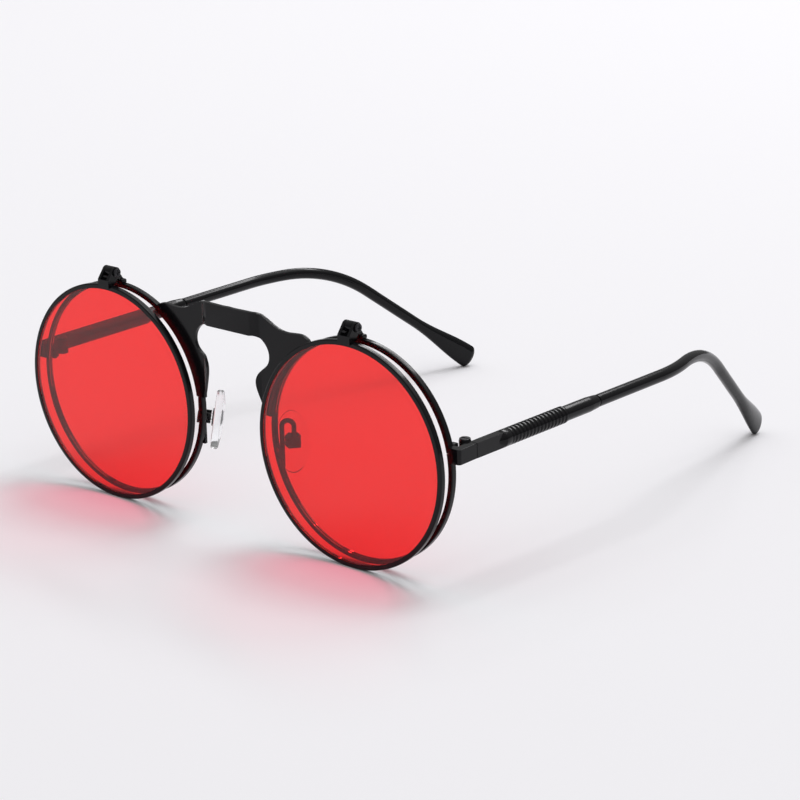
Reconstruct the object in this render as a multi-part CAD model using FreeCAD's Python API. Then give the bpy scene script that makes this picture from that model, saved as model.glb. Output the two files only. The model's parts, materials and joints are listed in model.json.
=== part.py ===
import FreeCAD, Part
import math
import os

Vector = FreeCAD.Vector
Placement = FreeCAD.Placement
Rotation = FreeCAD.Rotation

# Flip-up sunglasses: a round metal frame with clear lenses, and in front of each lens
# a second round rim with a red lens that swings up on a hinge at its top.
# Lengths are in millimetres and angles in degrees.
# The front is drawn upright: X to the wearer's left, Y to the back, Z up, with the origin
# midway between the lens centres, on the front face of the flip rims.
# The left half is drawn and mirrored. At the end the whole is leaned and set on its rims and tips.

# Rims and lenses
flip_rim_radius = 26.0
rear_rim_radius = 25.7
rim_wall = 1.1
rim_depth = 1.5
rim_edge_round = 0.3
rim_split = 0.2
groove_depth = 0.45
lens_thickness = 1.2
lens_clearance = 0.03
flip_gap = 2.6
bridge_gap = 21.7

# Bridge plate, stamped from sheet, with its middle bent forward
plate_thickness = 0.9
plate_step = 1.0
bend_start = 6.6
bend_width = 2.3
bridge_rise = 0.9
bar_height = 5.5
wing_tip_angle = 120.4
wing_foot_angle = 172.8
wing_cover_share = 0.55
# The top edge from the middle to the wing tip, as shares of the tip's x and of the rise above it
top_edge_shares = [(0.0, 1.0), (0.23, 1.0), (0.353, 0.95), (0.52, 0.56)]
top_edge_shares += [(0.694, 0.29), (0.95, 0.25), (1.0, 0.0)]
# The side of the keyhole from its top down to the wing foot, as shares of half the gap and of the plate top
keyhole_shares = [(0.58, 1.0), (0.92, 0.945), (1.046, 0.82), (1.0, 0.715)]
keyhole_shares += [(0.80, 0.62), (0.71, 0.545), (0.742, 0.37), (0.848, 0.152)]

# Flip hinges
flip_axis_back = 0.8
flip_axis_rise = 2.75
flip_barrel_radius = 1.25
flip_hinge_width = 3.4
flip_ear_width = 0.75
flip_tab_lap = 0.4
flip_tab_rise = 1.3
flip_base_rise = 0.9
flip_base_width = 3.0
flip_base_round = 0.4
flip_screw_radius = 0.55
flip_head_radius = 1.0
flip_head_height = 0.45
running_clearance = 0.05
side_clearance = 0.08

# End pieces and temple hinges
end_z = 4.6
end_height = 3.4
end_reach = 2.5
end_lap = 0.7
end_front_step = 0.6
end_leg = 5.85
end_corner_round = 0.7
bar_thickness = 2.0
joint_gap = 0.12
hinge_barrel_radius = 1.35
hinge_leaf_thickness = 0.8
end_leaf_length = 1.9
temple_leaf_length = 3.4
knuckle_height = 1.05
hinge_screw_radius = 0.6
hinge_head_radius = 1.25
hinge_head_height = 0.5
lock_width = 1.4
lock_depth = 1.4
lock_height = 3.6
lock_screw_radius = 0.35
lock_head_radius = 0.6
lock_head_height = 0.35

# Temples: straight to the bow, which turns them inward, then the ear bend and the drop
temple_spread = 0.8
temple_drop = 1.1
bar_length = 9.2
bar_runout = 1.8
sleeve_start = 11.0
rib_count = 16
rib_pitch = 1.25
rib_depth = 0.32
rib_crest_share = 0.5
spigot_radius = 1.2
spigot_clearance = 0.03
collar_length = 12.0
collar_radius = 1.75
collar_end_radius = 1.55
collar_taper = 3.0
tip_gap = 0.4
tip_radius = 1.45
bow_start = 68.0
bow_radius = 43.0
bow_angle = 16.0
bend_radius = 45.0
bend_angle = 36.0
drop_length = 43.4
paddle_width = 6.3
paddle_thickness = 2.7
paddle_cap = 1.8
paddle_steps = 8
flare_start_share = 0.48
core_radius = 0.65
core_clearance = 0.05
core_end_share = 0.7

# Nose pads
pad_height = 14.5
pad_width = 7.8
pad_thickness = 2.0
pad_turn = 50.0
pad_lean = 9.0
pad_screw_side = 2.9
pad_screw_back = 3.0
pad_screw_z = -3.6
pad_drop = 0.5
# The pad's sections: share of its thickness and share of its outline
pad_shares = [(0.0, 0.80), (0.3, 1.0), (0.65, 0.95), (1.0, 0.6)]
box_width = 2.6
box_height = 2.4
box_wall = 0.5
box_base = 1.3
box_depth = 1.6
stem_clearance = 0.08
stem_height = 1.7
stem_gap = 0.2
pad_stand = 1.35
pad_screw_radius = 0.35
pad_head_radius = 0.65
pad_head_height = 0.3
arm_radius = 0.55
arm_foot_z = -7.5
arm_foot_length = 3.2
arm_top_z = 0.4

# Cuts run past the solid by this much
overrun = 6.0
full_turn = 360

# Places worked out from the sizes above
lens_x = rear_rim_radius + bridge_gap / 2
rear_front = rim_depth + flip_gap
rear_back = rear_front + rim_depth
flip_axis_y = rim_depth + flip_axis_back
flip_axis_z = max(flip_rim_radius, rear_rim_radius) + flip_axis_rise
end_corner = Vector(lens_x + rear_rim_radius + end_reach, rear_front - end_front_step, end_z)
temple_turn = math.radians(temple_spread)
temple_way = Vector(math.sin(temple_turn), math.cos(temple_turn), 0)
joint_place = Placement(end_corner + temple_way * end_leg, Rotation(Vector(0, 0, 1), -temple_spread))
hinge_axis_x = -bar_thickness - hinge_barrel_radius
hinge_axis_y = joint_gap / 2
sleeve_end = sleeve_start + rib_count * rib_pitch
collar_end = sleeve_end + collar_length
tip_start = collar_end + tip_gap
diagonal = math.sqrt(0.5)

along_x = Vector(1, 0, 0)
along_y = Vector(0, 1, 0)
along_z = Vector(0, 0, 1)


# Plain shapes

# A box between two opposite corners
def block(low, high):
    size = high - low
    return Part.makeBox(size.x, size.y, size.z, low)


# A closed polygon pushed along a way
def prism(corners, way):
    return Part.Face(Part.makePolygon(corners + [corners[0]])).extrude(way)


# A solid turned about the Y axis from (radius, y) points
def turned(outline):
    corners = [Vector(radius, y, 0) for radius, y in outline]
    face = Part.Face(Part.makePolygon(corners + [corners[0]]))
    return face.revolve(Vector(0, 0, 0), along_y, full_turn)


# A smooth edge through points
def smooth_edge(points):
    curve = Part.BSplineCurve()
    curve.interpolate(points)
    return curve.toShape()


def line_edge(start, end):
    return Part.LineSegment(start, end).toShape()


# An oval ring, tall along its place's X and wide along its Y
def oval(half_tall, half_wide, place):
    ring = Part.Wire(Part.Ellipse(Vector(0, 0, 0), half_tall, half_wide).toShape())
    return ring.transformed(place.toMatrix())


def mirrored(shape):
    return shape.mirror(Vector(0, 0, 0), along_x)


# A screw from its head's seat along a way, with the head behind the seat
def screw(seat, way, length, radius, head_radius, head_height):
    shank = Part.makeCylinder(radius, length, seat, way)
    head = Part.makeCylinder(head_radius, head_height, seat - way * head_height, way)
    return shank.fuse(head).removeSplitter()


# Rims and lenses

def rim(radius, front):
    inner = radius - rim_wall
    back = front + rim_depth
    middle = front + rim_depth / 2
    outline = [(inner, front), (radius, front), (radius, back), (inner, back)]
    groove = [(inner, middle + groove_depth), (inner + groove_depth, middle), (inner, middle - groove_depth)]
    ring = turned(outline + groove)
    is_outer = lambda edge: edge.BoundBox.XLength > 2 * radius - rim_wall / 2
    rounded = ring.makeFillet(rim_edge_round, [edge for edge in ring.Edges if is_outer(edge)])
    return rounded.translated(Vector(lens_x, 0, 0))


# The lens sits in the rim's groove with its bevelled edge
def lens(radius, front):
    edge = radius - rim_wall - lens_clearance
    bevel = groove_depth - lens_clearance
    middle = front + rim_depth / 2
    front_face = middle - lens_thickness / 2
    back_face = middle + lens_thickness / 2
    rim_edge = [(edge, middle - bevel), (edge + bevel, middle), (edge, middle + bevel)]
    outline = [(0, front_face), (edge, front_face)] + rim_edge + [(edge, back_face), (0, back_face)]
    return turned(outline).translated(Vector(lens_x, 0, 0))


# The full disc that a rim fills, to cut the pieces that sit on it
def rim_disc(radius, front):
    return Part.makeCylinder(radius, rim_depth, Vector(lens_x, front, 0), along_y)


# The rear rim is split behind the end piece, so that it can close on its lens
def rear_rim():
    low = Vector(lens_x, rear_front - overrun, end_z - rim_split / 2)
    high = Vector(lens_x + rear_rim_radius + overrun, rear_back + overrun, end_z + rim_split / 2)
    return rim(rear_rim_radius, rear_front).cut(block(low, high))


# Bridge plate

def on_rear_rim(radius, angle):
    turn = math.radians(angle)
    return Vector(lens_x + radius * math.cos(turn), 0, radius * math.sin(turn))


# Half of the plate's outline, pushed through the depth of the plate and its step
def half_plate():
    top = rear_rim_radius + bridge_rise
    keyhole_top = top - bar_height
    tip = on_rear_rim(rear_rim_radius, wing_tip_angle)
    foot = on_rear_rim(rear_rim_radius, wing_foot_angle)
    inside = rear_rim_radius - 2 * rim_wall
    upper = [Vector(tip.x * across, 0, tip.z + (top - tip.z) * up) for across, up in top_edge_shares]
    side = [Vector(bridge_gap / 2 * across, 0, keyhole_top * up) for across, up in keyhole_shares]
    corners = [tip, on_rear_rim(inside, wing_tip_angle), on_rear_rim(inside, wing_foot_angle), foot, side[-1]]
    edges = [smooth_edge(upper), smooth_edge(side)]
    edges += [line_edge(start, end) for start, end in zip(corners, corners[1:])]
    edges.append(line_edge(side[0], Vector(0, 0, keyhole_top)))
    edges.append(line_edge(Vector(0, 0, keyhole_top), upper[0]))
    wire = Part.Wire(Part.__sortEdges__(edges))
    start = rear_front - plate_thickness - plate_step
    return Part.Face(wire).extrude(Vector(0, plate_thickness + plate_step, 0)).translated(Vector(0, start, 0))


# The bent sheet that the plate is cut from
def bent_sheet():
    half_run = [(bend_start, plate_step), (bend_start + bend_width, 0), (lens_x, 0)]
    run = [(-x, step) for x, step in reversed(half_run)] + half_run
    bottom = -rear_rim_radius
    back = [Vector(x, rear_front - step, bottom) for x, step in run]
    front = [Vector(x, rear_front - step - plate_thickness, bottom) for x, step in reversed(run)]
    return prism(back + front, Vector(0, 0, 2 * rear_rim_radius + overrun))


def bridge_plate():
    half = half_plate()
    radius = rear_rim_radius - rim_wall * wing_cover_share
    sight = Part.makeCylinder(radius, 2 * overrun, Vector(lens_x, rear_front - overrun, 0), along_y)
    half = half.common(bent_sheet()).cut(sight)
    return half.fuse(mirrored(half)).removeSplitter()


# Flip hinges

# A flat side piece in a YZ plane, from its left face
def side_plate(outline, left, width):
    return prism([Vector(left, y, z) for y, z in outline], Vector(width, 0, 0))


def flip_barrel(left, width, radius):
    return Part.makeCylinder(radius, width, Vector(left, flip_axis_y, flip_axis_z), along_x)


# Tab on the flip rim with two ears round the knuckle
def flip_hinge_leaf():
    left = lens_x - flip_hinge_width / 2
    right = lens_x + flip_hinge_width / 2
    top = flip_rim_radius + flip_tab_rise
    reach = flip_barrel_radius * diagonal
    tab = block(Vector(left, -flip_tab_lap, flip_rim_radius - rim_wall), Vector(right, rim_depth, top))
    outline = [(-flip_tab_lap, flip_rim_radius), (-flip_tab_lap, top)]
    outline += [(flip_axis_y - reach, flip_axis_z + reach), (flip_axis_y + reach, flip_axis_z - reach)]
    outline += [(rim_depth, flip_rim_radius)]
    leaf = tab
    for start in (left, right - flip_ear_width):
        ear = side_plate(outline, start, flip_ear_width)
        leaf = leaf.fuse([ear, flip_barrel(start, flip_ear_width, flip_barrel_radius)])
    hole = flip_barrel(left - overrun, flip_hinge_width + 2 * overrun, flip_screw_radius + running_clearance)
    return leaf.cut([rim_disc(flip_rim_radius, 0), hole]).removeSplitter()


# Saddle on the rear rim with the knuckle between the ears
def flip_hinge_base():
    width = flip_hinge_width - 2 * flip_ear_width - 2 * side_clearance
    top = rear_rim_radius + flip_base_rise
    reach = flip_barrel_radius * diagonal
    low = rear_rim_radius - rim_wall
    half = flip_base_width / 2
    saddle = block(Vector(lens_x - half, rear_front, low), Vector(lens_x + half, rear_back, top))
    rear_top = [edge for edge in saddle.Edges if edge.BoundBox.ZMin > top - rim_wall / 2]
    saddle = saddle.makeFillet(flip_base_round, rear_top)
    outline = [(flip_axis_y + reach, flip_axis_z + reach), (rear_back - flip_base_round, top)]
    outline += [(rear_back - flip_base_round, low), (rear_front, low), (rear_front, top)]
    outline += [(flip_axis_y + reach, flip_axis_z - reach), (flip_axis_y, flip_axis_z)]
    arm = side_plate(outline, lens_x - width / 2, width)
    knuckle = flip_barrel(lens_x - width / 2, width, flip_barrel_radius)
    hole = flip_barrel(lens_x - overrun, 2 * overrun, flip_screw_radius)
    return saddle.fuse([arm, knuckle]).cut([rim_disc(rear_rim_radius, rear_front), hole]).removeSplitter()


# Both flip screws go in from the wearer's left
def flip_hinge_screw(centre_x):
    seat_x = flip_hinge_width / 2 + side_clearance
    seat = Vector(centre_x + seat_x, flip_axis_y, flip_axis_z)
    return screw(seat, -along_x, 2 * seat_x, flip_screw_radius, flip_head_radius, flip_head_height)


# End pieces, rim locks and temple hinges

# The end piece goes out from the rim, round the corner and back to the joint
def end_piece():
    inward = Vector(-math.cos(temple_turn), math.sin(temple_turn), 0)
    outer_end = end_corner + temple_way * end_leg
    inner_end = outer_end + inward * bar_thickness
    run = bar_thickness * (1 - math.sin(temple_turn)) / math.cos(temple_turn)
    inner_corner = end_corner + inward * bar_thickness + temple_way * run
    rim_side = lens_x + rear_rim_radius - end_lap
    back_start = Vector(rim_side, inner_corner.y, end_z)
    front_start = Vector(rim_side, end_corner.y, end_z)
    corners = [front_start, end_corner, outer_end, inner_end, inner_corner, back_start]
    low = Vector(0, 0, -end_height / 2)
    solid = prism([corner + low for corner in corners], Vector(0, 0, end_height))
    is_corner = lambda edge: edge.CenterOfMass.distanceToPoint(end_corner) < bar_thickness / 2
    solid = solid.makeFillet(end_corner_round, [edge for edge in solid.Edges if is_corner(edge)])
    return solid.cut(rim_disc(rear_rim_radius, rear_front))


# Upper and lower block behind the rim's split, drawn together by a screw
def lock_x():
    middle_radius = rear_rim_radius - rim_wall / 2
    return lens_x + math.sqrt(middle_radius ** 2 - end_z ** 2) - lock_width / 4


def lock_axis(z):
    return Vector(lock_x(), rear_back + lock_depth / 2, z)


def lock_block(height):
    low = Vector(lock_x() - lock_width / 2, rear_back, end_z - height / 2)
    return block(low, low + Vector(lock_width, lock_depth, height))


def rim_lock():
    whole = lock_block(lock_height)
    gap = lock_block(rim_split)
    hole = Part.makeCylinder(lock_screw_radius, lock_height, lock_axis(end_z - lock_height / 2), along_z)
    return whole.cut([gap, hole])


def rim_lock_screw():
    seat = lock_axis(end_z - lock_height / 2)
    return screw(seat, along_z, lock_height, lock_screw_radius, lock_head_radius, lock_head_height)


# The hinge is drawn at the joint: x from the outer face, y along the temple, z from the middle
def knuckle(low, height):
    return Part.makeCylinder(hinge_barrel_radius, height, Vector(hinge_axis_x, hinge_axis_y, low), along_z)


def hinge_bore(radius):
    return Part.makeCylinder(radius, 2 * overrun, Vector(hinge_axis_x, hinge_axis_y, -overrun), along_z)


# Leaf on the end piece with the top and bottom knuckles
def end_hinge():
    inner = -bar_thickness - hinge_leaf_thickness
    half = end_height / 2
    solid = block(Vector(inner, -end_leaf_length, -half), Vector(-bar_thickness, 0, half))
    swept = hinge_bore(hinge_barrel_radius + side_clearance)
    gap = half - knuckle_height
    middle = block(Vector(inner - overrun, -overrun, -gap), Vector(0, overrun, gap))
    solid = solid.cut(swept.common(middle))
    solid = solid.fuse([knuckle(-half, knuckle_height), knuckle(half - knuckle_height, knuckle_height)])
    return solid.cut(hinge_bore(hinge_screw_radius)).removeSplitter().transformed(joint_place.toMatrix())


# Leaf on the temple with the middle knuckle
def temple_hinge():
    inner = -bar_thickness - hinge_leaf_thickness
    half = end_height / 2 - knuckle_height - side_clearance
    start = joint_gap + running_clearance
    solid = block(Vector(inner, start, -half), Vector(-bar_thickness, start + temple_leaf_length, half))
    solid = solid.fuse(knuckle(-half, 2 * half))
    trim = block(Vector(-bar_thickness, -overrun, -half), Vector(0, overrun, half))
    bored = solid.cut([hinge_bore(hinge_screw_radius + running_clearance), trim])
    return bored.removeSplitter().transformed(joint_place.toMatrix())


def temple_hinge_screw():
    seat = Vector(hinge_axis_x, hinge_axis_y, end_height / 2)
    solid = screw(seat, -along_z, end_height, hinge_screw_radius, hinge_head_radius, hinge_head_height)
    return solid.transformed(joint_place.toMatrix())


# Temples, drawn along Y from the joint with the rod's centre line on the Y axis

rod_radius = math.hypot(bar_thickness / 2, end_height / 2)
bow_turn = math.radians(bow_angle)
bow_end = Vector(bow_radius * (math.cos(bow_turn) - 1), bow_start + bow_radius * math.sin(bow_turn), 0)
bend_turn = math.radians(bend_angle)
bend_end = Vector(0, bend_radius * math.sin(bend_turn), bend_radius * (math.cos(bend_turn) - 1))
drop_way = Vector(0, math.cos(bend_turn), -math.sin(bend_turn))
drop_across = Vector(0, math.sin(bend_turn), math.cos(bend_turn))


# Carries a piece of the temple from its own frame to the front's
def on_temple(shape):
    lean = Placement(Vector(-bar_thickness / 2, joint_gap, 0), Rotation(along_x, -temple_drop))
    return shape.transformed(joint_place.multiply(lean).toMatrix())


# Carries the ear bend or the drop to the end of the bow
def after_bow(shape):
    return shape.transformed(Placement(bow_end, Rotation(along_z, bow_angle)).toMatrix())


# A round rod that starts along Y and turns about a centre
def bent_rod(radius, start, centre, axis, angle):
    ring = Part.Wire(Part.Circle(start, along_y, radius).toShape())
    return Part.Face(ring).revolve(centre, axis, angle)


# A round rod from a start on the Y axis, through the bow and round the ear bend
def hooked_rod(radius, start):
    straight = Part.makeCylinder(radius, bow_start - start, Vector(0, start, 0), along_y)
    bow = bent_rod(radius, Vector(0, bow_start, 0), Vector(-bow_radius, bow_start, 0), along_z, bow_angle)
    bend = bent_rod(radius, Vector(0, 0, 0), Vector(0, 0, -bend_radius), -along_x, bend_angle)
    return straight.fuse([bow, after_bow(bend)])


# The wire inside the tip, which ends in the drop
def core(radius):
    drop = Part.makeCylinder(radius, drop_length * core_end_share, bend_end, drop_way)
    return hooked_rod(radius, collar_end).fuse(after_bow(drop))


# Flat bar milled on a round rod, then the spigot for the sleeve and collar, then the wire in the tip
def temple_shaft():
    half = bar_thickness / 2
    bar = block(Vector(-half, -end_height, -end_height / 2), Vector(half, bar_length, end_height / 2))
    flare = Part.makeCone(half, rod_radius, bar_runout, Vector(0, bar_length - bar_runout, 0), along_y)
    rod = Part.makeCylinder(rod_radius, sleeve_start - bar_length, Vector(0, bar_length, 0), along_y)
    spigot = Part.makeCylinder(spigot_radius, collar_end - sleeve_start, Vector(0, sleeve_start, 0), along_y)
    solid = on_temple(bar.fuse([flare, rod, spigot, core(core_radius)]).removeSplitter())
    before_joint = block(Vector(-overrun, -2 * overrun, -overrun), Vector(overrun, joint_gap, overrun))
    return solid.cut(before_joint.transformed(joint_place.toMatrix()))


# Turned sleeve with a row of ribs
def ribbed_sleeve():
    bore = spigot_radius + spigot_clearance
    root = rod_radius - rib_depth
    crest = rib_pitch * rib_crest_share / 2
    ribs = []
    for number in range(rib_count):
        middle = sleeve_start + (number + 1 / 2) * rib_pitch
        ribs += [(root, middle - rib_pitch / 2), (rod_radius, middle - crest), (rod_radius, middle + crest)]
    outline = ribs + [(root, sleeve_end), (bore, sleeve_end), (bore, sleeve_start)]
    return on_temple(turned(outline))


def temple_collar():
    bore = spigot_radius + spigot_clearance
    outline = [(bore, sleeve_end), (collar_radius, sleeve_end), (collar_radius, collar_end - collar_taper)]
    outline += [(collar_end_radius, collar_end), (bore, collar_end)]
    return on_temple(turned(outline))


def drop_place(along_share):
    centre = bend_end + drop_way * ((drop_length - paddle_cap) * along_share)
    return Placement(centre, Rotation(drop_across, along_x, drop_way, "ZXY"))


# One oval section of the drop, round at first and then eased into the paddle
def drop_section(along_share):
    rise = max(0, (along_share - flare_start_share) / (1 - flare_start_share))
    flare = rise * rise * (3 - 2 * rise)
    half_tall = tip_radius + (paddle_width / 2 - tip_radius) * flare
    half_wide = tip_radius + (paddle_thickness / 2 - tip_radius) * flare
    return oval(half_tall, half_wide, drop_place(along_share))


# Rounded end of the paddle: half a ball stretched to its section
def paddle_end():
    half_ball = Part.makeSphere(1, Vector(0, 0, 0), along_z, 0, full_turn / 4, full_turn)
    stretch = FreeCAD.Matrix()
    stretch.scale(Vector(paddle_width / 2, paddle_thickness / 2, paddle_cap))
    return half_ball.transformGeometry(stretch).transformed(drop_place(1).toMatrix())


# Plastic tip: a tube through the bow and the ear bend, and the drop that flares into a paddle
def temple_tip():
    sections = [drop_section(step / paddle_steps) for step in range(paddle_steps + 1)]
    paddle = Part.makeLoft(sections, True).fuse(paddle_end())
    solid = hooked_rod(tip_radius, tip_start).fuse(after_bow(paddle))
    return on_temple(solid.cut(core(core_radius + core_clearance)).removeSplitter())


# Nose pads, drawn at the pad screw: x along the screw, y towards the nose, z up the pad

pad_centre = Vector(bridge_gap / 2 + pad_screw_side, rear_back + pad_screw_back, pad_screw_z)
pad_rotation = Rotation(along_z, pad_turn).multiply(Rotation(along_x, -pad_lean))
pad_place = Placement(pad_centre, pad_rotation)


# Clip round the pad's stem
def pad_box():
    half = box_width / 2
    back = -box_depth / 2 - box_base
    solid = block(Vector(-half, back, -box_height / 2), Vector(half, box_depth / 2, box_height / 2))
    slot = block(Vector(box_wall - half, -box_depth / 2, -overrun), Vector(half - box_wall, overrun, overrun))
    hole = Part.makeCylinder(pad_screw_radius, 2 * overrun, Vector(-overrun, 0, 0), along_x)
    return solid.cut([slot, hole]).transformed(pad_place.toMatrix())


def pad_screw():
    seat = Vector(box_width / 2, 0, 0)
    solid = screw(seat, -along_x, box_width, pad_screw_radius, pad_head_radius, pad_head_height)
    return solid.transformed(pad_place.toMatrix())


def pad_section(depth_share, size_share):
    centre = Vector(0, pad_stand + pad_thickness * depth_share, -pad_drop)
    turn = Rotation(along_z, along_x, along_y, "ZXY")
    return oval(pad_height / 2 * size_share, pad_width / 2 * size_share, Placement(centre, turn))


# Soft oval pad with the stem that rocks on the screw
def nose_pad():
    pad = Part.makeLoft([pad_section(*shares) for shares in pad_shares], True)
    half = box_width / 2 - box_wall - stem_clearance
    stem_back = stem_gap - box_depth / 2
    stem_front = pad_stand + pad_thickness / 4
    stem = block(Vector(-half, stem_back, -stem_height / 2), Vector(half, stem_front, stem_height / 2))
    bore = pad_screw_radius + running_clearance
    hole = Part.makeCylinder(bore, 2 * overrun, Vector(-overrun, 0, 0), along_x)
    return pad.fuse(stem).cut(hole).removeSplitter().transformed(pad_place.toMatrix())


# Bent wire from a foot on the rim's back, up over a loop and down to the clip
def pad_arm():
    middle_radius = rear_rim_radius - rim_wall / 2
    foot_x = lens_x - math.sqrt(middle_radius ** 2 - arm_foot_z ** 2)
    wire_y = rear_back + arm_radius
    clip = pad_place.multVec(Vector(0, -box_depth / 2 - box_base / 2, box_height / 2))
    foot = Vector(foot_x, wire_y, arm_foot_z - arm_foot_length / 2)
    rise = Vector(foot_x, wire_y, arm_top_z)
    fall = Vector(clip.x, clip.y, arm_top_z)
    crown = (rise + fall) / 2 + along_z * (fall.sub(rise).Length / 2)
    end = Vector(clip.x, clip.y, clip.z - arm_radius)
    path = Part.Wire([line_edge(foot, rise), Part.Arc(rise, crown, fall).toShape(), line_edge(fall, end)])
    ring = Part.Wire(Part.Circle(foot, along_z, arm_radius).toShape())
    wire = path.makePipeShell([ring], True, False)
    flat_low = Vector(foot_x - arm_radius, rear_back, foot.z)
    flat = block(flat_low, flat_low + Vector(2 * arm_radius, arm_radius, arm_foot_length))
    return wire.fuse(flat).cut(pad_box()).removeSplitter()


# The pieces, left and right

pieces = {"bridge_plate": bridge_plate()}


def add_pair(name, left):
    pieces[name + "_left"] = left
    pieces[name + "_right"] = mirrored(left)


def add_group(name, solids):
    pieces[name] = Part.makeCompound(solids)


def add_mirrored_group(name, left):
    add_group(name, [left, mirrored(left)])


add_pair("rear_rim", rear_rim())
add_pair("clear_lens", lens(rear_rim_radius, rear_front))
add_pair("flip_rim", rim(flip_rim_radius, 0))
add_pair("red_lens", lens(flip_rim_radius, 0))
add_pair("flip_hinge_leaf", flip_hinge_leaf())
add_pair("flip_hinge_base", flip_hinge_base())
add_group("flip_hinge_screws", [flip_hinge_screw(lens_x), flip_hinge_screw(-lens_x)])
add_pair("end_piece", end_piece())
add_pair("rim_lock", rim_lock())
add_mirrored_group("rim_lock_screws", rim_lock_screw())
add_pair("end_hinge", end_hinge())
add_pair("temple_hinge", temple_hinge())
add_mirrored_group("temple_hinge_screws", temple_hinge_screw())
add_pair("temple_shaft", temple_shaft())
add_pair("ribbed_sleeve", ribbed_sleeve())
add_pair("temple_collar", temple_collar())
add_pair("temple_tip", temple_tip())
add_pair("pad_arm", pad_arm())
add_pair("pad_box", pad_box())
add_mirrored_group("nose_pad_screws", pad_screw())
add_pair("nose_pad", nose_pad())


# Standing pose: leaned until the flip rims and the tips rest on one floor, centred over the origin

def lowest(name, lean):
    return pieces[name].rotated(Vector(0, 0, 0), along_x, lean).optimalBoundingBox().ZMin


def rest_lean():
    tip_reach = pieces["temple_tip_left"].optimalBoundingBox().YMax
    lean = 0
    for _ in range(4):
        lean += math.degrees((lowest("flip_rim_left", lean) - lowest("temple_tip_left", lean)) / tip_reach)
    return lean


lean = rest_lean()
turn = Rotation(along_x, lean)
leaned = Part.makeCompound([shape.rotated(Vector(0, 0, 0), along_x, lean) for shape in pieces.values()])
box = leaned.optimalBoundingBox()
stand = Placement(Vector(0, -(box.YMin + box.YMax) / 2, -box.ZMin), turn)

os.makedirs("parts", exist_ok=True)
for name, shape in pieces.items():
    shape.transformed(stand.toMatrix()).exportStep("parts/" + name + ".step")


# Measures

def show(label, point):
    print(label, tuple(round(value, 4) for value in point))


hinge_point = joint_place.multVec(Vector(hinge_axis_x, hinge_axis_y, 0))
pad_axis = pad_rotation.multVec(along_x)
print("overall", round(box.XLength, 2), round(box.YLength, 2), round(box.ZLength, 2))
print("lean", round(lean, 3))
show("lens centre left", stand.multVec(Vector(lens_x, 0, 0)))
show("flip axis left", stand.multVec(Vector(lens_x, flip_axis_y, flip_axis_z)))
show("temple axis left", stand.multVec(hinge_point))
show("temple axis way", turn.multVec(along_z))
show("pad axis left", stand.multVec(pad_centre))
show("pad axis way left", turn.multVec(pad_axis))
for name, shape in pieces.items():
    print(name, len(shape.Solids), round(shape.Volume, 2), shape.isValid())
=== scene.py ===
import bmesh
import bpy
import json
import math
from mathutils import Matrix, Quaternion, Vector


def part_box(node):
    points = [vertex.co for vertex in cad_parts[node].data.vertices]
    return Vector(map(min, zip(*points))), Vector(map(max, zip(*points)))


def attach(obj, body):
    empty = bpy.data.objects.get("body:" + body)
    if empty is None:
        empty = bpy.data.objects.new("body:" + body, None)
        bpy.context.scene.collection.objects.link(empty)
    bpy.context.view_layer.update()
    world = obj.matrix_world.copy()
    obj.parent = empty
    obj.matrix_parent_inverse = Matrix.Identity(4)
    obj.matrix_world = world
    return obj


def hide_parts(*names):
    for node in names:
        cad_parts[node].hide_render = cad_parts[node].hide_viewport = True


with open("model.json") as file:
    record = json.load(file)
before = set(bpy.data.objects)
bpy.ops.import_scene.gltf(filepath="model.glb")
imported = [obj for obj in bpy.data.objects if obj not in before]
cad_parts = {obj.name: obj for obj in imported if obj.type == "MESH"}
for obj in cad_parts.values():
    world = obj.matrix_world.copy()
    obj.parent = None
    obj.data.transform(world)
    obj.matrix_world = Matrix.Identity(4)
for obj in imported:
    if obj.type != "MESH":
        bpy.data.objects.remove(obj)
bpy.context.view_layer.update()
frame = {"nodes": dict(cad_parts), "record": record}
print("frame loaded:", len(frame["nodes"]), "nodes")

mm = 0.001
record = frame["record"]
bodyOf = {node: body for body, nodes in record["behaviour"]["bodies"].items() for node in nodes}
slotOf = {part["node"]: part["material_slot"] for part in record["subparts"]}
joints = {joint["name"]: joint for joint in record["behaviour"]["joints"]}
sides = {"left": 1, "right": -1}

# the front leans a little, its top forward: its own axes, with X to the wearer's left
frontLeft = Vector((1, 0, 0))
frontUp = Vector(joints["temple_fold_left"]["axis"]).normalized()
frontBack = frontUp.cross(frontLeft)
frontTurn = Matrix((frontLeft, frontBack, frontUp)).transposed()


# camera at the photo's view: angles in degrees, aimed at a point between the temples

photoCamera = {"azimuth": 39.61, "elevation": 16.315, "roll": 0.868, "distance": 0.6283,
               "target": (0.00625, -0.02023, 0.02094), "lens": 118.4, "sensor": 36.0, "clipStart": 0.006283}


def addCamera(c):
    azimuth, elevation, roll = (math.radians(c[k]) for k in ("azimuth", "elevation", "roll"))
    level = math.cos(elevation)
    back = Vector((math.sin(azimuth) * level, -math.cos(azimuth) * level, math.sin(elevation)))
    right = Vector((math.cos(azimuth), math.sin(azimuth), 0))
    turn = Matrix((right, back.cross(right), back)).transposed() @ Matrix.Rotation(roll, 3, "Z")
    data = bpy.data.cameras.new("photoCamera")
    data.lens = c["lens"]
    data.sensor_width = c["sensor"]
    data.clip_start = c["clipStart"]
    camera = bpy.data.objects.new("photoCamera", data)
    bpy.context.scene.collection.objects.link(camera)
    camera.matrix_world = Matrix.Translation(Vector(c["target"]) + back * c["distance"]) @ turn.to_4x4()
    bpy.context.scene.camera = camera


# small helpers for nodes

def newMaterial(name):
    material = bpy.data.materials.new(name)
    material.use_nodes = True
    tree = material.node_tree
    tree.nodes.clear()
    return material, tree


def addNode(tree, kind, **settings):
    node = tree.nodes.new(kind)
    for key, value in settings.items():
        setattr(node, key, value)
    return node


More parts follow.
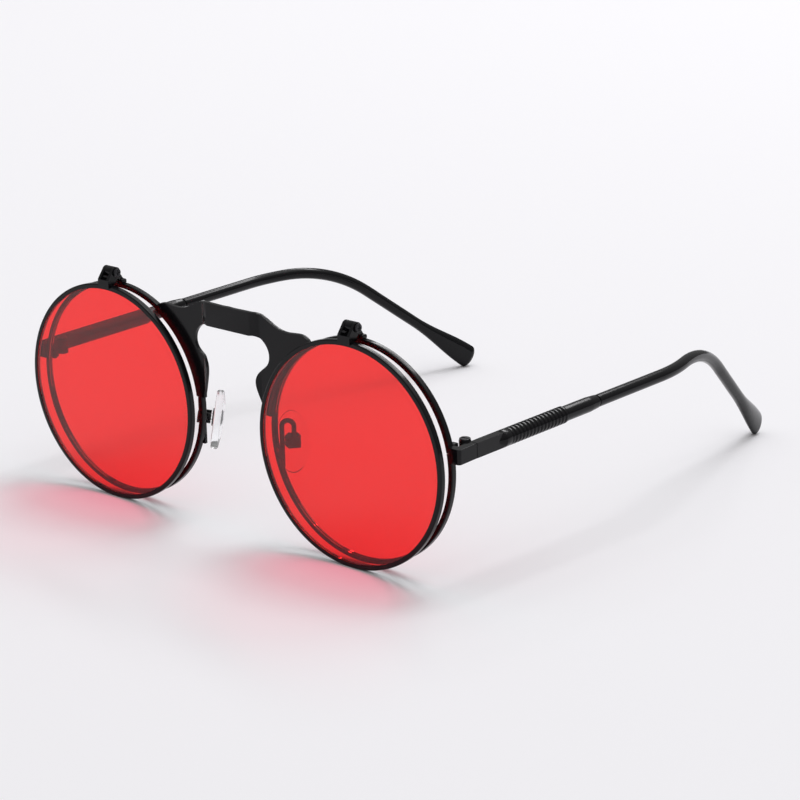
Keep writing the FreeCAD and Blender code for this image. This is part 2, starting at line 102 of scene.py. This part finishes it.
def setInputs(node, **values):
    for key, value in values.items():
        node.inputs[key.replace("_", " ")].default_value = value


def setMaterial(piece, material):
    piece.data.materials.clear()
    piece.data.materials.append(material)


# shared finish: faint cloudy colour, uneven gloss and a fine grain, all on Object coordinates

finishInputs = {"Light Colour": ("NodeSocketColor", (0.02, 0.02, 0.02, 1)),
                "Dark Colour": ("NodeSocketColor", (0.01, 0.01, 0.01, 1)),
                "Least Roughness": ("NodeSocketFloat", 0.25),
                "Most Roughness": ("NodeSocketFloat", 0.35),
                "Cloud Scale": ("NodeSocketFloat", 120.0),
                "Grain Scale": ("NodeSocketFloat", 2500.0)}
finishOutputs = {"Colour": "NodeSocketColor", "Roughness": "NodeSocketFloat", "Height": "NodeSocketFloat"}
mixSockets = {"dark": 6, "light": 7, "result": 2}  # the colour sockets of a Mix node


def makeFinishGroup():
    group = bpy.data.node_groups.new("lacquerFinish", "ShaderNodeTree")
    for name, (kind, value) in finishInputs.items():
        group.interface.new_socket(name, in_out="INPUT", socket_type=kind).default_value = value
    for name, kind in finishOutputs.items():
        group.interface.new_socket(name, in_out="OUTPUT", socket_type=kind)
    inside = addNode(group, "NodeGroupInput")
    out = addNode(group, "NodeGroupOutput")
    place = addNode(group, "ShaderNodeTexCoord")
    cloud = addNode(group, "ShaderNodeTexNoise")
    setInputs(cloud, Detail=4.0, Roughness=0.6)
    grain = addNode(group, "ShaderNodeTexNoise")
    setInputs(grain, Detail=2.0)
    mix = addNode(group, "ShaderNodeMix", data_type="RGBA")
    rough = addNode(group, "ShaderNodeMapRange")
    link = group.links.new
    for texture, scale in ((cloud, "Cloud Scale"), (grain, "Grain Scale")):
        link(place.outputs["Object"], texture.inputs["Vector"])
        link(inside.outputs[scale], texture.inputs["Scale"])
    link(cloud.outputs["Fac"], mix.inputs["Factor"])
    link(inside.outputs["Dark Colour"], mix.inputs[mixSockets["dark"]])
    link(inside.outputs["Light Colour"], mix.inputs[mixSockets["light"]])
    link(cloud.outputs["Fac"], rough.inputs["Value"])
    link(inside.outputs["Least Roughness"], rough.inputs["To Min"])
    link(inside.outputs["Most Roughness"], rough.inputs["To Max"])
    link(mix.outputs[mixSockets["result"]], out.inputs["Colour"])
    link(rough.outputs["Result"], out.inputs["Roughness"])
    link(grain.outputs["Fac"], out.inputs["Height"])
    return group


finishGroup = makeFinishGroup()

blackLacquer = {"Light Colour": (0.0055, 0.0052, 0.0066, 1), "Dark Colour": (0.003, 0.0029, 0.0036, 1),
                "Least Roughness": 0.11, "Most Roughness": 0.2, "Cloud Scale": 260.0, "Grain Scale": 3000.0,
                "bump": 0.05, "bumpDepth": 0.02 * mm, "metallic": 0.0, "gloss": 0.2}
tipPlastic = {"Light Colour": (0.006, 0.006, 0.0072, 1), "Dark Colour": (0.004, 0.004, 0.0048, 1),
              "Least Roughness": 0.08, "Most Roughness": 0.17, "Cloud Scale": 90.0, "Grain Scale": 1500.0,
              "bump": 0.03, "bumpDepth": 0.02 * mm, "metallic": 0.0, "gloss": 0.18}
blackSteel = {"Light Colour": (0.05, 0.048, 0.053, 1), "Dark Colour": (0.02, 0.02, 0.023, 1),
              "Least Roughness": 0.22, "Most Roughness": 0.4, "Cloud Scale": 900.0, "Grain Scale": 5000.0,
              "bump": 0.08, "bumpDepth": 0.01 * mm, "metallic": 0.7, "gloss": 0.4}


def makeCoated(name, finish):
    material, tree = newMaterial(name)
    group = addNode(tree, "ShaderNodeGroup", node_tree=finishGroup)
    for key in finishInputs:
        group.inputs[key].default_value = finish[key]
    bump = addNode(tree, "ShaderNodeBump")
    setInputs(bump, Strength=finish["bump"], Distance=finish["bumpDepth"])
    shader = addNode(tree, "ShaderNodeBsdfPrincipled")
    setInputs(shader, Metallic=finish["metallic"], Specular_IOR_Level=finish["gloss"])
    out = addNode(tree, "ShaderNodeOutputMaterial")
    link = tree.links.new
    link(group.outputs["Colour"], shader.inputs["Base Color"])
    link(group.outputs["Roughness"], shader.inputs["Roughness"])
    link(group.outputs["Height"], bump.inputs["Height"])
    link(bump.outputs["Normal"], shader.inputs["Normal"])
    link(shader.outputs["BSDF"], out.inputs["Surface"])
    return material


# lenses and pads: tinted clear plastic, see-through for lamps and for light from the floor

redLens = {"tint": (1.0, 0.022, 0.02, 1), "roughness": 0.0, "ior": 1.5, "shadow": (1.0, 0.36, 0.48, 1)}
clearLens = {"tint": (0.99, 0.99, 0.99, 1), "roughness": 0.0, "ior": 1.22, "shadow": (0.99, 0.99, 0.99, 1)}
silicone = {"tint": (0.975, 0.98, 0.985, 1), "roughness": 0.1, "ior": 1.3, "shadow": (0.94, 0.94, 0.94, 1)}


def makeClear(name, look):
    material, tree = newMaterial(name)
    shader = addNode(tree, "ShaderNodeBsdfPrincipled")
    setInputs(shader, Base_Color=look["tint"], Roughness=look["roughness"], IOR=look["ior"],
              Transmission_Weight=1.0)
    through = addNode(tree, "ShaderNodeBsdfTransparent")
    setInputs(through, Color=look["shadow"])
    light = addNode(tree, "ShaderNodeLightPath")
    out = addNode(tree, "ShaderNodeOutputMaterial")
    link = tree.links.new
    surface = shader.outputs["BSDF"]
    for ray in ("Is Shadow Ray", "Is Diffuse Ray"):
        mix = addNode(tree, "ShaderNodeMixShader")
        link(light.outputs[ray], mix.inputs["Fac"])
        link(surface, mix.inputs[1])
        link(through.outputs["BSDF"], mix.inputs[2])
        surface = mix.outputs["Shader"]
    link(surface, out.inputs["Surface"])
    return material


# one material for each slot of the record
finishes = {"black_metal": makeCoated("blackLacquer", blackLacquer),
            "screw_steel": makeCoated("blackSteel", blackSteel),
            "tip_plastic": makeCoated("tipPlastic", tipPlastic),
            "red_lens": makeClear("redLensPlastic", redLens),
            "clear_lens": makeClear("clearLensPlastic", clearLens),
            "silicone": makeClear("clearSilicone", silicone)}
for nodeName, node in frame["nodes"].items():
    setMaterial(node, finishes[slotOf[nodeName]])
print("finishes made:", len(finishes))


# small helpers for modelling

smoothAngle = 32
nearlyFacing = 0.9  # how far a face's normal points one way, from 0 to 1
squarelyFacing = 0.99


def activate(piece):
    bpy.ops.object.select_all(action="DESELECT")
    piece.select_set(True)
    bpy.context.view_layer.objects.active = piece


def applyModifier(piece, kind, **settings):
    activate(piece)
    bpy.ops.object.modifier_add(type=kind)
    modifier = piece.modifiers[-1]
    for key, value in settings.items():
        setattr(modifier, key, value)
    bpy.ops.object.modifier_apply(modifier=modifier.name)


def smoothByAngle(piece, degrees=smoothAngle):
    activate(piece)
    bpy.ops.object.shade_smooth_by_angle(angle=math.radians(degrees))


# these two select the faces or points of the mesh in edit mode that pass a test
def selectFaces(piece, test):
    bpy.ops.mesh.select_mode(type="FACE")
    bpy.ops.mesh.select_all(action="DESELECT")
    mesh = bmesh.from_edit_mesh(piece.data)
    for face in mesh.faces:
        face.select_set(test(face))
    bmesh.update_edit_mesh(piece.data)


def selectVertices(piece, test):
    bpy.ops.mesh.select_mode(type="VERT")
    bpy.ops.mesh.select_all(action="DESELECT")
    mesh = bmesh.from_edit_mesh(piece.data)
    for vertex in mesh.verts:
        vertex.select_set(test(vertex.co))
    mesh.select_flush_mode()
    bmesh.update_edit_mesh(piece.data)


# takes a box out of a piece
def cutBox(piece, place, size):
    bpy.ops.object.select_all(action="DESELECT")
    bpy.ops.mesh.primitive_cube_add(size=1, location=place, scale=size)
    cutter = bpy.context.object
    applyModifier(piece, "BOOLEAN", object=cutter, operation="DIFFERENCE", solver="EXACT")
    bpy.data.objects.remove(cutter)


# puts a finished piece in the place of a CAD node
def standIn(piece, nodeName, name):
    piece.name = name
    piece.data.name = name
    setMaterial(piece, finishes[slotOf[nodeName]])
    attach(piece, bodyOf[nodeName])
    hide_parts(nodeName)


# stamped and milled pieces: copies with their sharp edges broken, widths in millimetres

brokenEdges = {"bridge_plate": 0.13, "end_piece": 0.14, "end_hinge": 0.09, "temple_hinge": 0.08,
               "flip_hinge_leaf": 0.12, "flip_hinge_base": 0.11, "rim_lock": 0.1, "pad_box": 0.09,
               "ribbed_sleeve": 0.04, "temple_collar": 0.12, "temple_shaft": 0.1, "pad_arm": 0.05,
               "temple_tip": 0.05}
edgeBreak = {"merge": 0.002, "flat": 0.4, "sharp": 28, "segments": 3}
hingeTab = {"shorter": 0.5, "within": 0.1}


# the flip hinge's tab ends on the rim's front, above the lens
def shortenTab(piece):
    lowest = min(frontUp.dot(vertex.co) for vertex in piece.data.vertices)
    bpy.ops.object.mode_set(mode="EDIT")
    selectFaces(piece, lambda face: all(frontUp.dot(v.co) - lowest < hingeTab["within"] * mm for v in face.verts))
    bpy.ops.transform.translate(value=frontUp * (hingeTab["shorter"] * mm))
    bpy.ops.object.mode_set(mode="OBJECT")


def breakEdges(nodeName, width):
    piece = bpy.data.objects.new(nodeName, frame["nodes"][nodeName].data.copy())
    bpy.context.scene.collection.objects.link(piece)
    activate(piece)
    bpy.ops.mesh.customdata_custom_splitnormals_clear()
    bpy.ops.object.mode_set(mode="EDIT")
    bpy.ops.mesh.select_all(action="SELECT")
    bpy.ops.mesh.remove_doubles(threshold=edgeBreak["merge"] * mm)
    bpy.ops.mesh.dissolve_limited(angle_limit=math.radians(edgeBreak["flat"]))
    bpy.ops.object.mode_set(mode="OBJECT")
    if nodeName.startswith("flip_hinge_leaf"):
        shortenTab(piece)
    applyModifier(piece, "BEVEL", width=width * mm, segments=edgeBreak["segments"], limit_method="ANGLE",
                  angle_limit=math.radians(edgeBreak["sharp"]), use_clamp_overlap=True)
    smoothByAngle(piece)
    applyModifier(piece, "WEIGHTED_NORMAL", keep_sharp=True)
    standIn(piece, nodeName, nodeName + "_worked")


for nodeName in frame["nodes"]:
    kind = nodeName.removesuffix("_left").removesuffix("_right")
    if kind in brokenEdges:
        breakEdges(nodeName, brokenEdges[kind])
print("edges broken")


# rims and lenses: turned round Y so that their gloss runs smoothly, in millimetres

rimLook = {"wall": 1.1, "depth": 1.5, "round": 0.3, "roundSteps": 4, "groove": 0.45, "grooveCuts": 3,
           "steps": 240, "split": 0.2, "splitUp": 4.6, "splitLength": 4.0}
sectionPart = {"grooveSides": 0.4, "grooveBottom": 0.1, "outside": 0.9}  # shares of the depth and the wall
rimRadius = {"flip_rim": 26.0, "rear_rim": 25.7}
lensLook = {"thick": 1.2, "play": 0.03, "sides": 240}
lensRim = {"red_lens": "flip_rim", "clear_lens": "rear_rim"}


# the section is drawn flat at the right of the middle, then spun
def turnRim(radius, r):
    bpy.ops.object.select_all(action="DESELECT")
    wall, depth, groove = (r[k] * mm for k in ("wall", "depth", "groove"))
    inner = radius * mm - wall
    middle = radius * mm - wall / 2
    bpy.ops.mesh.primitive_plane_add(size=1, location=(middle, 0, 0))
    piece = bpy.context.object
    piece.scale = (wall, depth, 1)
    bpy.ops.object.transform_apply(location=True, scale=True)
    bpy.ops.object.mode_set(mode="EDIT")
    selectVertices(piece, lambda co: co.x < middle)
    bpy.ops.mesh.subdivide(number_cuts=r["grooveCuts"])
    selectVertices(piece, lambda co: co.x < middle and abs(co.y) < sectionPart["grooveSides"] * depth)
    spread = (r["grooveCuts"] + 1) * groove / depth
    bpy.ops.transform.resize(value=(1, spread, 1), center_override=(inner, 0, 0))
    selectVertices(piece, lambda co: co.x < middle and abs(co.y) < sectionPart["grooveBottom"] * depth)
    bpy.ops.transform.translate(value=(groove, 0, 0))
    selectVertices(piece, lambda co: co.x > inner + sectionPart["outside"] * wall)
    bpy.ops.mesh.bevel(offset=r["round"] * mm, segments=r["roundSteps"], affect="VERTICES")
    bpy.ops.mesh.select_all(action="SELECT")
    bpy.ops.mesh.delete(type="ONLY_FACE")
    bpy.ops.mesh.select_all(action="SELECT")
    bpy.ops.mesh.spin(steps=r["steps"], angle=2 * math.pi, center=(0, 0, 0), axis=(0, 1, 0))
    bpy.ops.mesh.select_all(action="SELECT")
    bpy.ops.mesh.remove_doubles(threshold=edgeBreak["merge"] * mm)
    bpy.ops.mesh.normals_make_consistent(inside=False)
    bpy.ops.object.mode_set(mode="OBJECT")
    return piece


# the rear rim is open behind its end piece
def splitRim(piece, radius, r, sign):
    size = (r["splitLength"] * mm, 2 * r["depth"] * mm, r["split"] * mm)
    cutBox(piece, (sign * radius * mm, 0, r["splitUp"] * mm), size)


# a round blank, drawn out to its edge and back in steps
def turnLens(radius, r, blank):
    bpy.ops.object.select_all(action="DESELECT")
    edge = radius - r["wall"] - blank["play"]
    bevel = r["groove"] - blank["play"]
    back = blank["thick"] / 2
    bpy.ops.mesh.primitive_circle_add(vertices=blank["sides"], radius=edge * mm, fill_type="NGON",
                                      location=(0, -back * mm, 0), rotation=(math.pi / 2, 0, 0))
    piece = bpy.context.object
    bpy.ops.object.transform_apply(location=True, rotation=True)
    bpy.ops.object.mode_set(mode="EDIT")
    bpy.ops.mesh.select_all(action="SELECT")
    out = (edge + bevel) / edge
    at = -back
    for stop, growth in ((-bevel, 1), (0, out), (bevel, 1 / out), (back, 1)):
        bpy.ops.mesh.extrude_region_move(TRANSFORM_OT_translate={"value": (0, (stop - at) * mm, 0)})
        bpy.ops.transform.resize(value=(growth, 1, growth), center_override=(0, stop * mm, 0))
        at = stop
    bpy.ops.mesh.select_all(action="SELECT")
    bpy.ops.mesh.normals_make_consistent(inside=False)
    bpy.ops.object.mode_set(mode="OBJECT")
    return piece


def setInFront(piece, nodeName):
    low, high = (Vector(corner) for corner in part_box(nodeName))
    piece.data.transform(Matrix.Translation((low + high) / 2) @ frontTurn.to_4x4())
    smoothByAngle(piece)
    applyModifier(piece, "WEIGHTED_NORMAL", keep_sharp=True)
    standIn(piece, nodeName, nodeName + "_turned")


for side, sign in sides.items():
    for kind, radius in rimRadius.items():
        piece = turnRim(radius, rimLook)
        if kind == "rear_rim":
            splitRim(piece, radius, rimLook, sign)
        setInFront(piece, kind + "_" + side)
    for kind, rim in lensRim.items():
        setInFront(turnLens(rimRadius[rim], rimLook, lensLook), kind + "_" + side)
print("rims and lenses turned")


# screws: a turned head with a recess for the driver, over a plain shank

screwTurning = {"sides": 40, "pointSize": 0.35, "roundSteps": 4}
flipScrew = {"head": 1.0, "headHeight": 0.45, "shank": 0.55, "length": 3.56, "point": 0.12, "round": 0.14,
             "recess": (1.36, 0.3), "recessDepth": 0.26, "cross": True}
hingeScrew = {"head": 1.25, "headHeight": 0.5, "shank": 0.6, "length": 3.4, "point": 0.12, "round": 0.16,
              "recess": (3.0, 0.36), "recessDepth": 0.26, "cross": False}
padScrew = {"head": 0.65, "headHeight": 0.3, "shank": 0.35, "length": 2.6, "point": 1.1, "round": 0.08,
            "recess": (1.6, 0.2), "recessDepth": 0.15, "cross": False}
lockScrew = {"head": 0.6, "headHeight": 0.35, "shank": 0.35, "length": 3.6, "point": 0.1, "round": 0.08,
             "recess": (1.5, 0.2), "recessDepth": 0.16, "cross": False}


def cutRecess(piece, s, turned):
    long, wide = s["recess"]
    across, along = (wide, long) if turned else (long, wide)
    cutBox(piece, (0, 0, s["headHeight"] * mm), (across * mm, along * mm, 2 * s["recessDepth"] * mm))


# drawn with the head's seat on the floor and the head up
def turnScrew(s):
    bpy.ops.object.select_all(action="DESELECT")
    bpy.ops.mesh.primitive_cylinder_add(vertices=screwTurning["sides"], radius=s["head"] * mm,
                                        depth=s["headHeight"] * mm, location=(0, 0, s["headHeight"] * mm / 2))
    piece = bpy.context.object
    bpy.ops.object.transform_apply(location=True)
    bpy.ops.object.mode_set(mode="EDIT")
    selectFaces(piece, lambda face: face.normal.z < -nearlyFacing)
    bpy.ops.mesh.inset(thickness=(s["head"] - s["shank"]) * mm)
    bpy.ops.mesh.extrude_region_move(TRANSFORM_OT_translate={"value": (0, 0, -s["length"] * mm)})
    bpy.ops.mesh.extrude_region_move(TRANSFORM_OT_translate={"value": (0, 0, -s["point"] * mm)})
    bpy.ops.transform.resize(value=(screwTurning["pointSize"], screwTurning["pointSize"], 1),
                             center_override=(0, 0, -(s["length"] + s["point"]) * mm))
    selectFaces(piece, lambda face: face.normal.z > nearlyFacing)
    bpy.ops.mesh.bevel(offset=s["round"] * mm, segments=screwTurning["roundSteps"], affect="EDGES")
    bpy.ops.object.mode_set(mode="OBJECT")
    cutRecess(piece, s, False)
    if s["cross"]:
        cutRecess(piece, s, True)
    smoothByAngle(piece)
    return piece


# one turned screw, copied to each seat with its head towards the given way, joined as one node's stand-in
def addScrews(nodeName, name, s, seats):
    first = turnScrew(s)
    copies = []
    for seat, way in seats:
        mesh = first.data.copy()
        mesh.transform(Matrix.Translation(seat) @ Vector(way).to_track_quat("Z", "Y").to_matrix().to_4x4())
        copy = bpy.data.objects.new(name, mesh)
        bpy.context.scene.collection.objects.link(copy)
        copies.append(copy)
    bpy.data.objects.remove(first)
    activate(copies[0])
    for copy in copies[1:]:
        copy.select_set(True)
    bpy.ops.object.join()
    standIn(copies[0], nodeName, name)


def jointPlace(name):
    return Vector(joints[name]["pos_m"]), Vector(joints[name]["axis"]).normalized()


flipSeats = []
hingeSeats = []
padSeats = []
lockSeats = []
for side in sides:
    flipPlace = jointPlace("flip_up_" + side)[0]
    flipSeats.append((flipPlace + frontLeft * (flipScrew["length"] / 2 * mm), frontLeft))
    hingePlace = jointPlace("temple_fold_" + side)[0]
    hingeSeats.append((hingePlace + frontUp * (hingeScrew["length"] / 2 * mm), frontUp))
    padPlace, padWay = jointPlace("pad_rock_" + side)
    padSeats.append((padPlace + padWay * (padScrew["length"] / 2 * mm), padWay))
    low, high = (Vector(corner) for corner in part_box("rim_lock_" + side))
    lockSeats.append(((low + high) / 2 - frontUp * (lockScrew["length"] / 2 * mm), -frontUp))
addScrews("flip_hinge_screws", "flipHingeScrews", flipScrew, flipSeats)
addScrews("temple_hinge_screws", "templeHingeScrews", hingeScrew, hingeSeats)
addScrews("nose_pad_screws", "nosePadScrews", padScrew, padSeats)
addScrews("rim_lock_screws", "rimLockScrews", lockScrew, lockSeats)
print("screws turned")


# nose pads: soft ovals with a crowned face and a stem in the clip, in millimetres

nosePad = {"tall": 14.3, "wide": 7.7, "thick": 1.85, "stand": 1.42, "drop": 0.5, "turn": 50, "lean": 9,
           "crown": 0.4, "crownSize": 0.7, "edge": 0.62, "edgeSteps": 6, "sides": 64, "smooth": 50, "fill": 1.0,
           "stemWide": 1.3, "stemTall": 1.6, "stemDepth": 1.9}


# drawn with X along the pad's screw, Y to the nose and Z up the pad
def mouldPad(p):
    bpy.ops.object.select_all(action="DESELECT")
    middle = p["stand"] + p["thick"] / 2
    bpy.ops.mesh.primitive_cylinder_add(vertices=p["sides"], radius=mm, depth=p["thick"] * mm,
                                        location=(0, middle * mm, -p["drop"] * mm), rotation=(math.pi / 2, 0, 0),
                                        scale=(p["wide"] / 2, p["tall"] / 2, 1))
    piece = bpy.context.object
    bpy.ops.object.transform_apply(location=True, rotation=True, scale=True)
    bpy.ops.object.mode_set(mode="EDIT")
    for way in (1, -1):
        selectFaces(piece, lambda face: face.normal.y * way > nearlyFacing)
        bpy.ops.mesh.bevel(offset=p["edge"] * mm, segments=p["edgeSteps"], affect="EDGES")
    selectFaces(piece, lambda face: face.normal.y > squarelyFacing)
    bpy.ops.mesh.extrude_region_move(TRANSFORM_OT_translate={"value": (0, p["crown"] * mm, 0)})
    crownMiddle = (0, (p["stand"] + p["thick"] + p["crown"]) * mm, -p["drop"] * mm)
    bpy.ops.transform.resize(value=(p["crownSize"], 1, p["crownSize"]), center_override=crownMiddle)
    selectFaces(piece, lambda face: face.normal.y < -squarelyFacing)
    bpy.ops.mesh.extrude_region_move(TRANSFORM_OT_translate={"value": (0, 0, 0)})
    shrink = (p["stemWide"] / (p["wide"] - 2 * p["edge"]), 1, p["stemTall"] / (p["tall"] - 2 * p["edge"]))
    bpy.ops.transform.resize(value=shrink, center_override=(0, p["stand"] * mm, -p["drop"] * mm))
    bpy.ops.transform.translate(value=(0, 0, p["drop"] * mm))
    bpy.ops.mesh.extrude_region_move(TRANSFORM_OT_translate={"value": (0, -p["stemDepth"] * mm, 0)})
    bpy.ops.object.mode_set(mode="OBJECT")
    smoothByAngle(piece, p["smooth"])
    return piece


# the metal button in the pad's back, with four soft lobes
padButton = {"radius": 2.05, "thick": 0.42, "front": 1.5, "lobes": 4, "hollow": 0.86, "hollowSpan": 0.45,
             "sides": 32, "edge": 0.14, "edgeSteps": 3}


def stampButton(b):
    bpy.ops.object.select_all(action="DESELECT")
    middle = (b["front"] - b["thick"] / 2) * mm
    bpy.ops.mesh.primitive_cylinder_add(vertices=b["sides"], radius=b["radius"] * mm, depth=b["thick"] * mm,
                                        location=(0, middle, 0), rotation=(math.pi / 2, 0, 0))
    piece = bpy.context.object
    bpy.ops.object.transform_apply(location=True, rotation=True)
    bpy.ops.object.mode_set(mode="EDIT")
    wave = b["lobes"] / 2
    selectVertices(piece, lambda co: abs(math.sin(wave * math.atan2(co.z, co.x))) < b["hollowSpan"])
    bpy.ops.transform.resize(value=(b["hollow"], 1, b["hollow"]), center_override=(0, middle, 0))
    for way in (1, -1):
        selectFaces(piece, lambda face: face.normal.y * way > nearlyFacing)
        bpy.ops.mesh.bevel(offset=b["edge"] * mm, segments=b["edgeSteps"], affect="EDGES")
    bpy.ops.object.mode_set(mode="OBJECT")
    smoothByAngle(piece)
    return piece


# turns a piece drawn beside the pad's screw into its place on one side
def setOnPad(piece, side, sign):
    place = jointPlace("pad_rock_" + side)[0]
    turn = Matrix.Rotation(math.radians(nosePad["turn"]), 3, "Z")
    lean = Matrix.Rotation(-math.radians(nosePad["lean"]), 3, "X")
    piece.data.transform((frontTurn @ turn @ lean).to_4x4())
    if sign < 0:
        piece.data.transform(Matrix.Scale(-1, 4, (1, 0, 0)))
        piece.data.flip_normals()
    piece.data.transform(Matrix.Translation(place))


def addPad(side, sign):
    pad = mouldPad(nosePad)
    setOnPad(pad, side, sign)
    standIn(pad, "nose_pad_" + side, "nosePad_" + side)
    button = stampButton(padButton)
    button.name = "padButton_" + side
    button.data.name = button.name
    setOnPad(button, side, sign)
    setMaterial(button, finishes["screw_steel"])
    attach(button, bodyOf["nose_pad_" + side])


for side, sign in sides.items():
    addPad(side, sign)
print("pads moulded")


# stage: pale floor, a wide and a small soft box above, a strip behind for the gloss and a room brighter above

studio = {"floorSize": 9.0, "floorColour": (0.956, 0.949, 0.972, 1), "wallGlow": 0.2, "ceilingGlow": 0.64,
          "lampAim": (0, 0, 0.02), "lampColour": (0.99, 0.985, 1.0)}
softBox = {"size": (2.6, 2.6), "power": 16.5, "place": (0.05, 0.92, 2.45), "turn": 0}
keyBox = {"size": (0.8, 0.8), "power": 12.0, "place": (0.05, 0.9, 2.4), "turn": 0}
backStrip = {"size": (2.2, 0.32), "power": 16.5, "place": (-0.62, 2.28, 2.16), "turn": -24}


def addStudio(s):
    bpy.ops.object.select_all(action="DESELECT")
    bpy.ops.mesh.primitive_plane_add(size=s["floorSize"], location=(0, 0, 0))
    floor = bpy.context.object
    floor.name = "studioFloor"
    material, tree = newMaterial("paleFloor")
    shader = addNode(tree, "ShaderNodeBsdfDiffuse")
    setInputs(shader, Color=s["floorColour"])
    out = addNode(tree, "ShaderNodeOutputMaterial")
    tree.links.new(shader.outputs["BSDF"], out.inputs["Surface"])
    setMaterial(floor, material)
    world = bpy.data.worlds.new("whiteRoom")
    world.use_nodes = True
    tree = world.node_tree
    background = tree.nodes["Background"]
    setInputs(background, Color=(1, 1, 1, 1))
    way = addNode(tree, "ShaderNodeTexCoord")
    split = addNode(tree, "ShaderNodeSeparateXYZ")
    glow = addNode(tree, "ShaderNodeMapRange")
    setInputs(glow, To_Min=s["wallGlow"], To_Max=s["ceilingGlow"])
    tree.links.new(way.outputs["Generated"], split.inputs["Vector"])
    tree.links.new(split.outputs["Z"], glow.inputs["Value"])
    tree.links.new(glow.outputs["Result"], background.inputs["Strength"])
    bpy.context.scene.world = world


def addLamp(name, lamp):
    light = bpy.data.lights.new(name, "AREA")
    light.shape = "RECTANGLE"
    light.size, light.size_y = lamp["size"]
    light.energy = lamp["power"]
    light.color = studio["lampColour"]
    panel = bpy.data.objects.new(name, light)
    bpy.context.scene.collection.objects.link(panel)
    panel.location = lamp["place"]
    panel.rotation_mode = "QUATERNION"
    aim = (Vector(studio["lampAim"]) - Vector(lamp["place"])).to_track_quat("-Z", "Y")
    panel.rotation_quaternion = aim @ Quaternion((0, 0, 1), math.radians(lamp["turn"]))


addCamera(photoCamera)
addStudio(studio)
addLamp("softBox", softBox)
addLamp("keyBox", keyBox)
addLamp("backStrip", backStrip)
bpy.context.scene.view_settings.view_transform = "Standard"
print("studio set")
